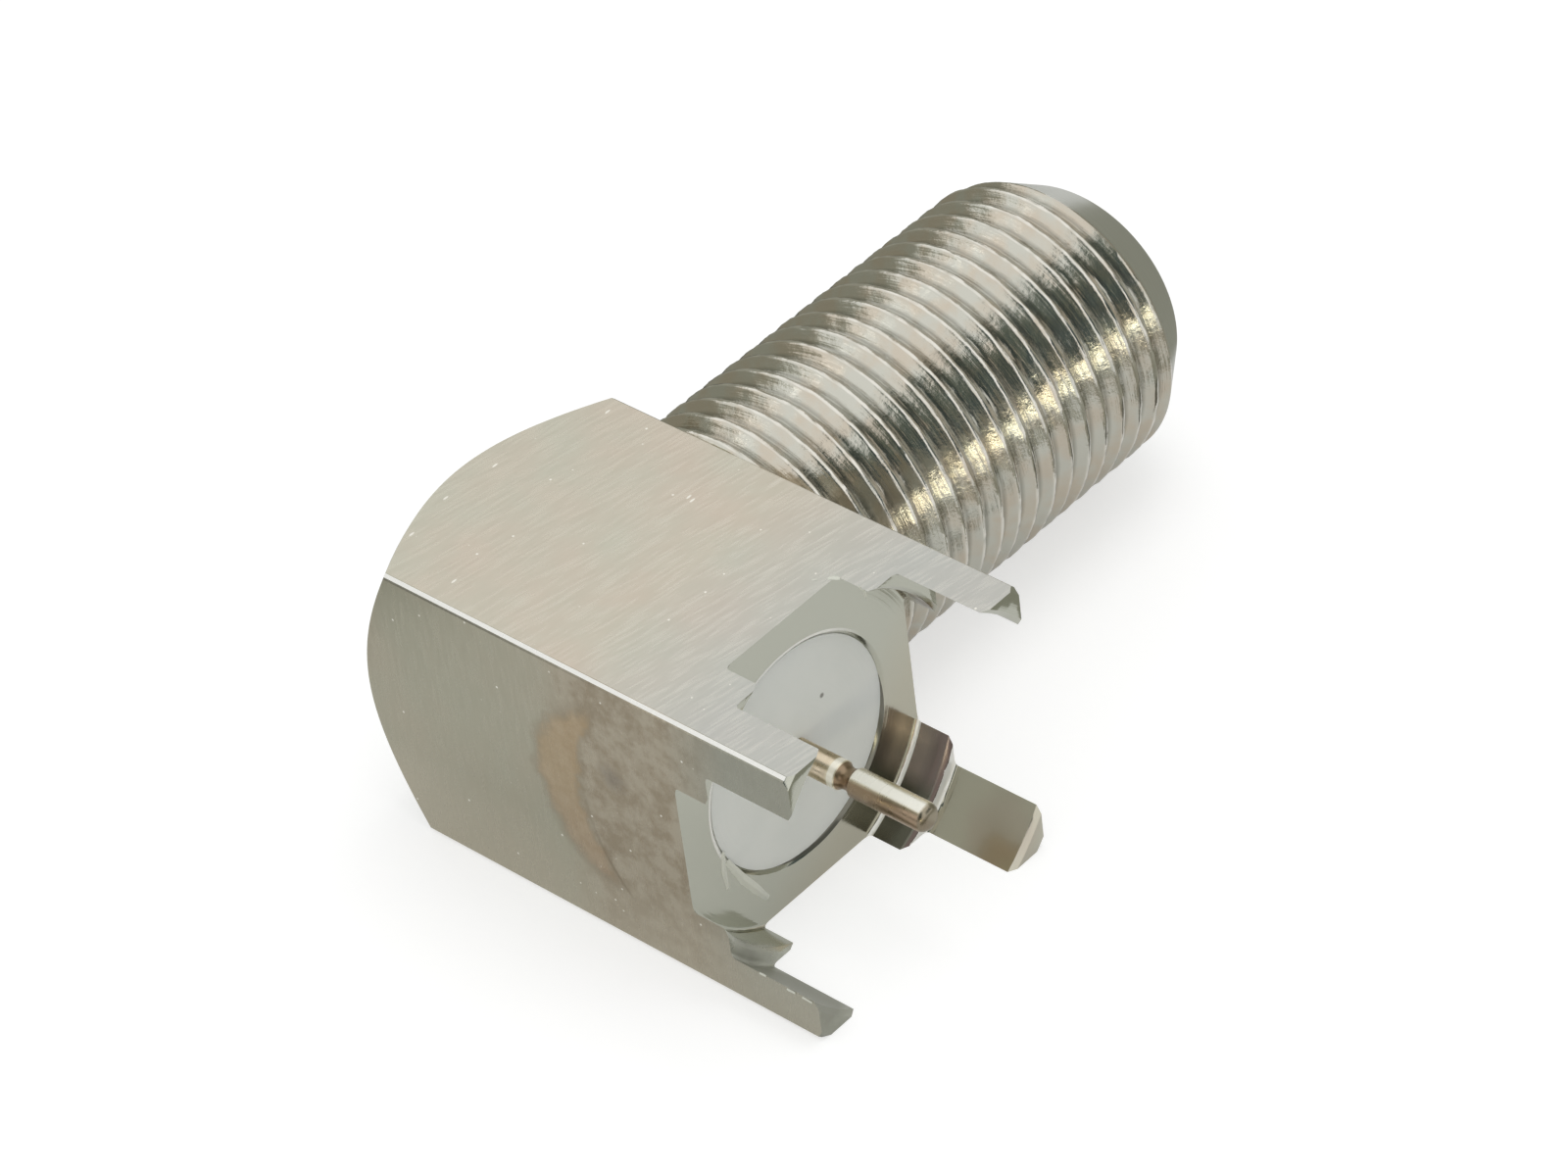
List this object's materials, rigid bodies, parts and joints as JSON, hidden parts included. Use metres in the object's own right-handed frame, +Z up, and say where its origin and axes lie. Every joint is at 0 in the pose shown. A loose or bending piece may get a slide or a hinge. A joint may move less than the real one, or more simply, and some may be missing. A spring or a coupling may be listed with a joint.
{
  "type": "right-angle coaxial board jack",
  "caption": "Square-bodied right-angle coaxial jack with a threaded barrel, corner legs for a circuit board and a gold solder pin.",
  "frame": {"origin": "on the solder pin's axis, in the plane of the four ledges that sit on the circuit board", "axes": "+X along the solder pin and the legs, through the board; +Y out of the barrel's mouth; +Z up, with the jack lying on one flat of its square bar and on its barrel, as in the picture"},
  "size_m": [0.0171, 0.0256, 0.0094],
  "materials": {
    "satin_nickel_plate": "nickel plate over drawn and turned brass bar, satin with fine draw lines and a brown heat stain",
    "bright_nickel_plate": "bright nickel plate over turned brass",
    "white_insulator": "turned white plastic, smooth",
    "tinned_bronze": "tin plate over spring bronze",
    "gold_plate": "thin bright gold plate over turned brass"
  },
  "bodies": {
    "root": {"housing": "satin_nickel_plate", "threaded_barrel": "bright_nickel_plate", "barrel_insulator": "white_insulator", "centre_contact": "tinned_bronze", "pin_insulator": "white_insulator", "solder_pin": "gold_plate"}
  },
  "joints": []
}
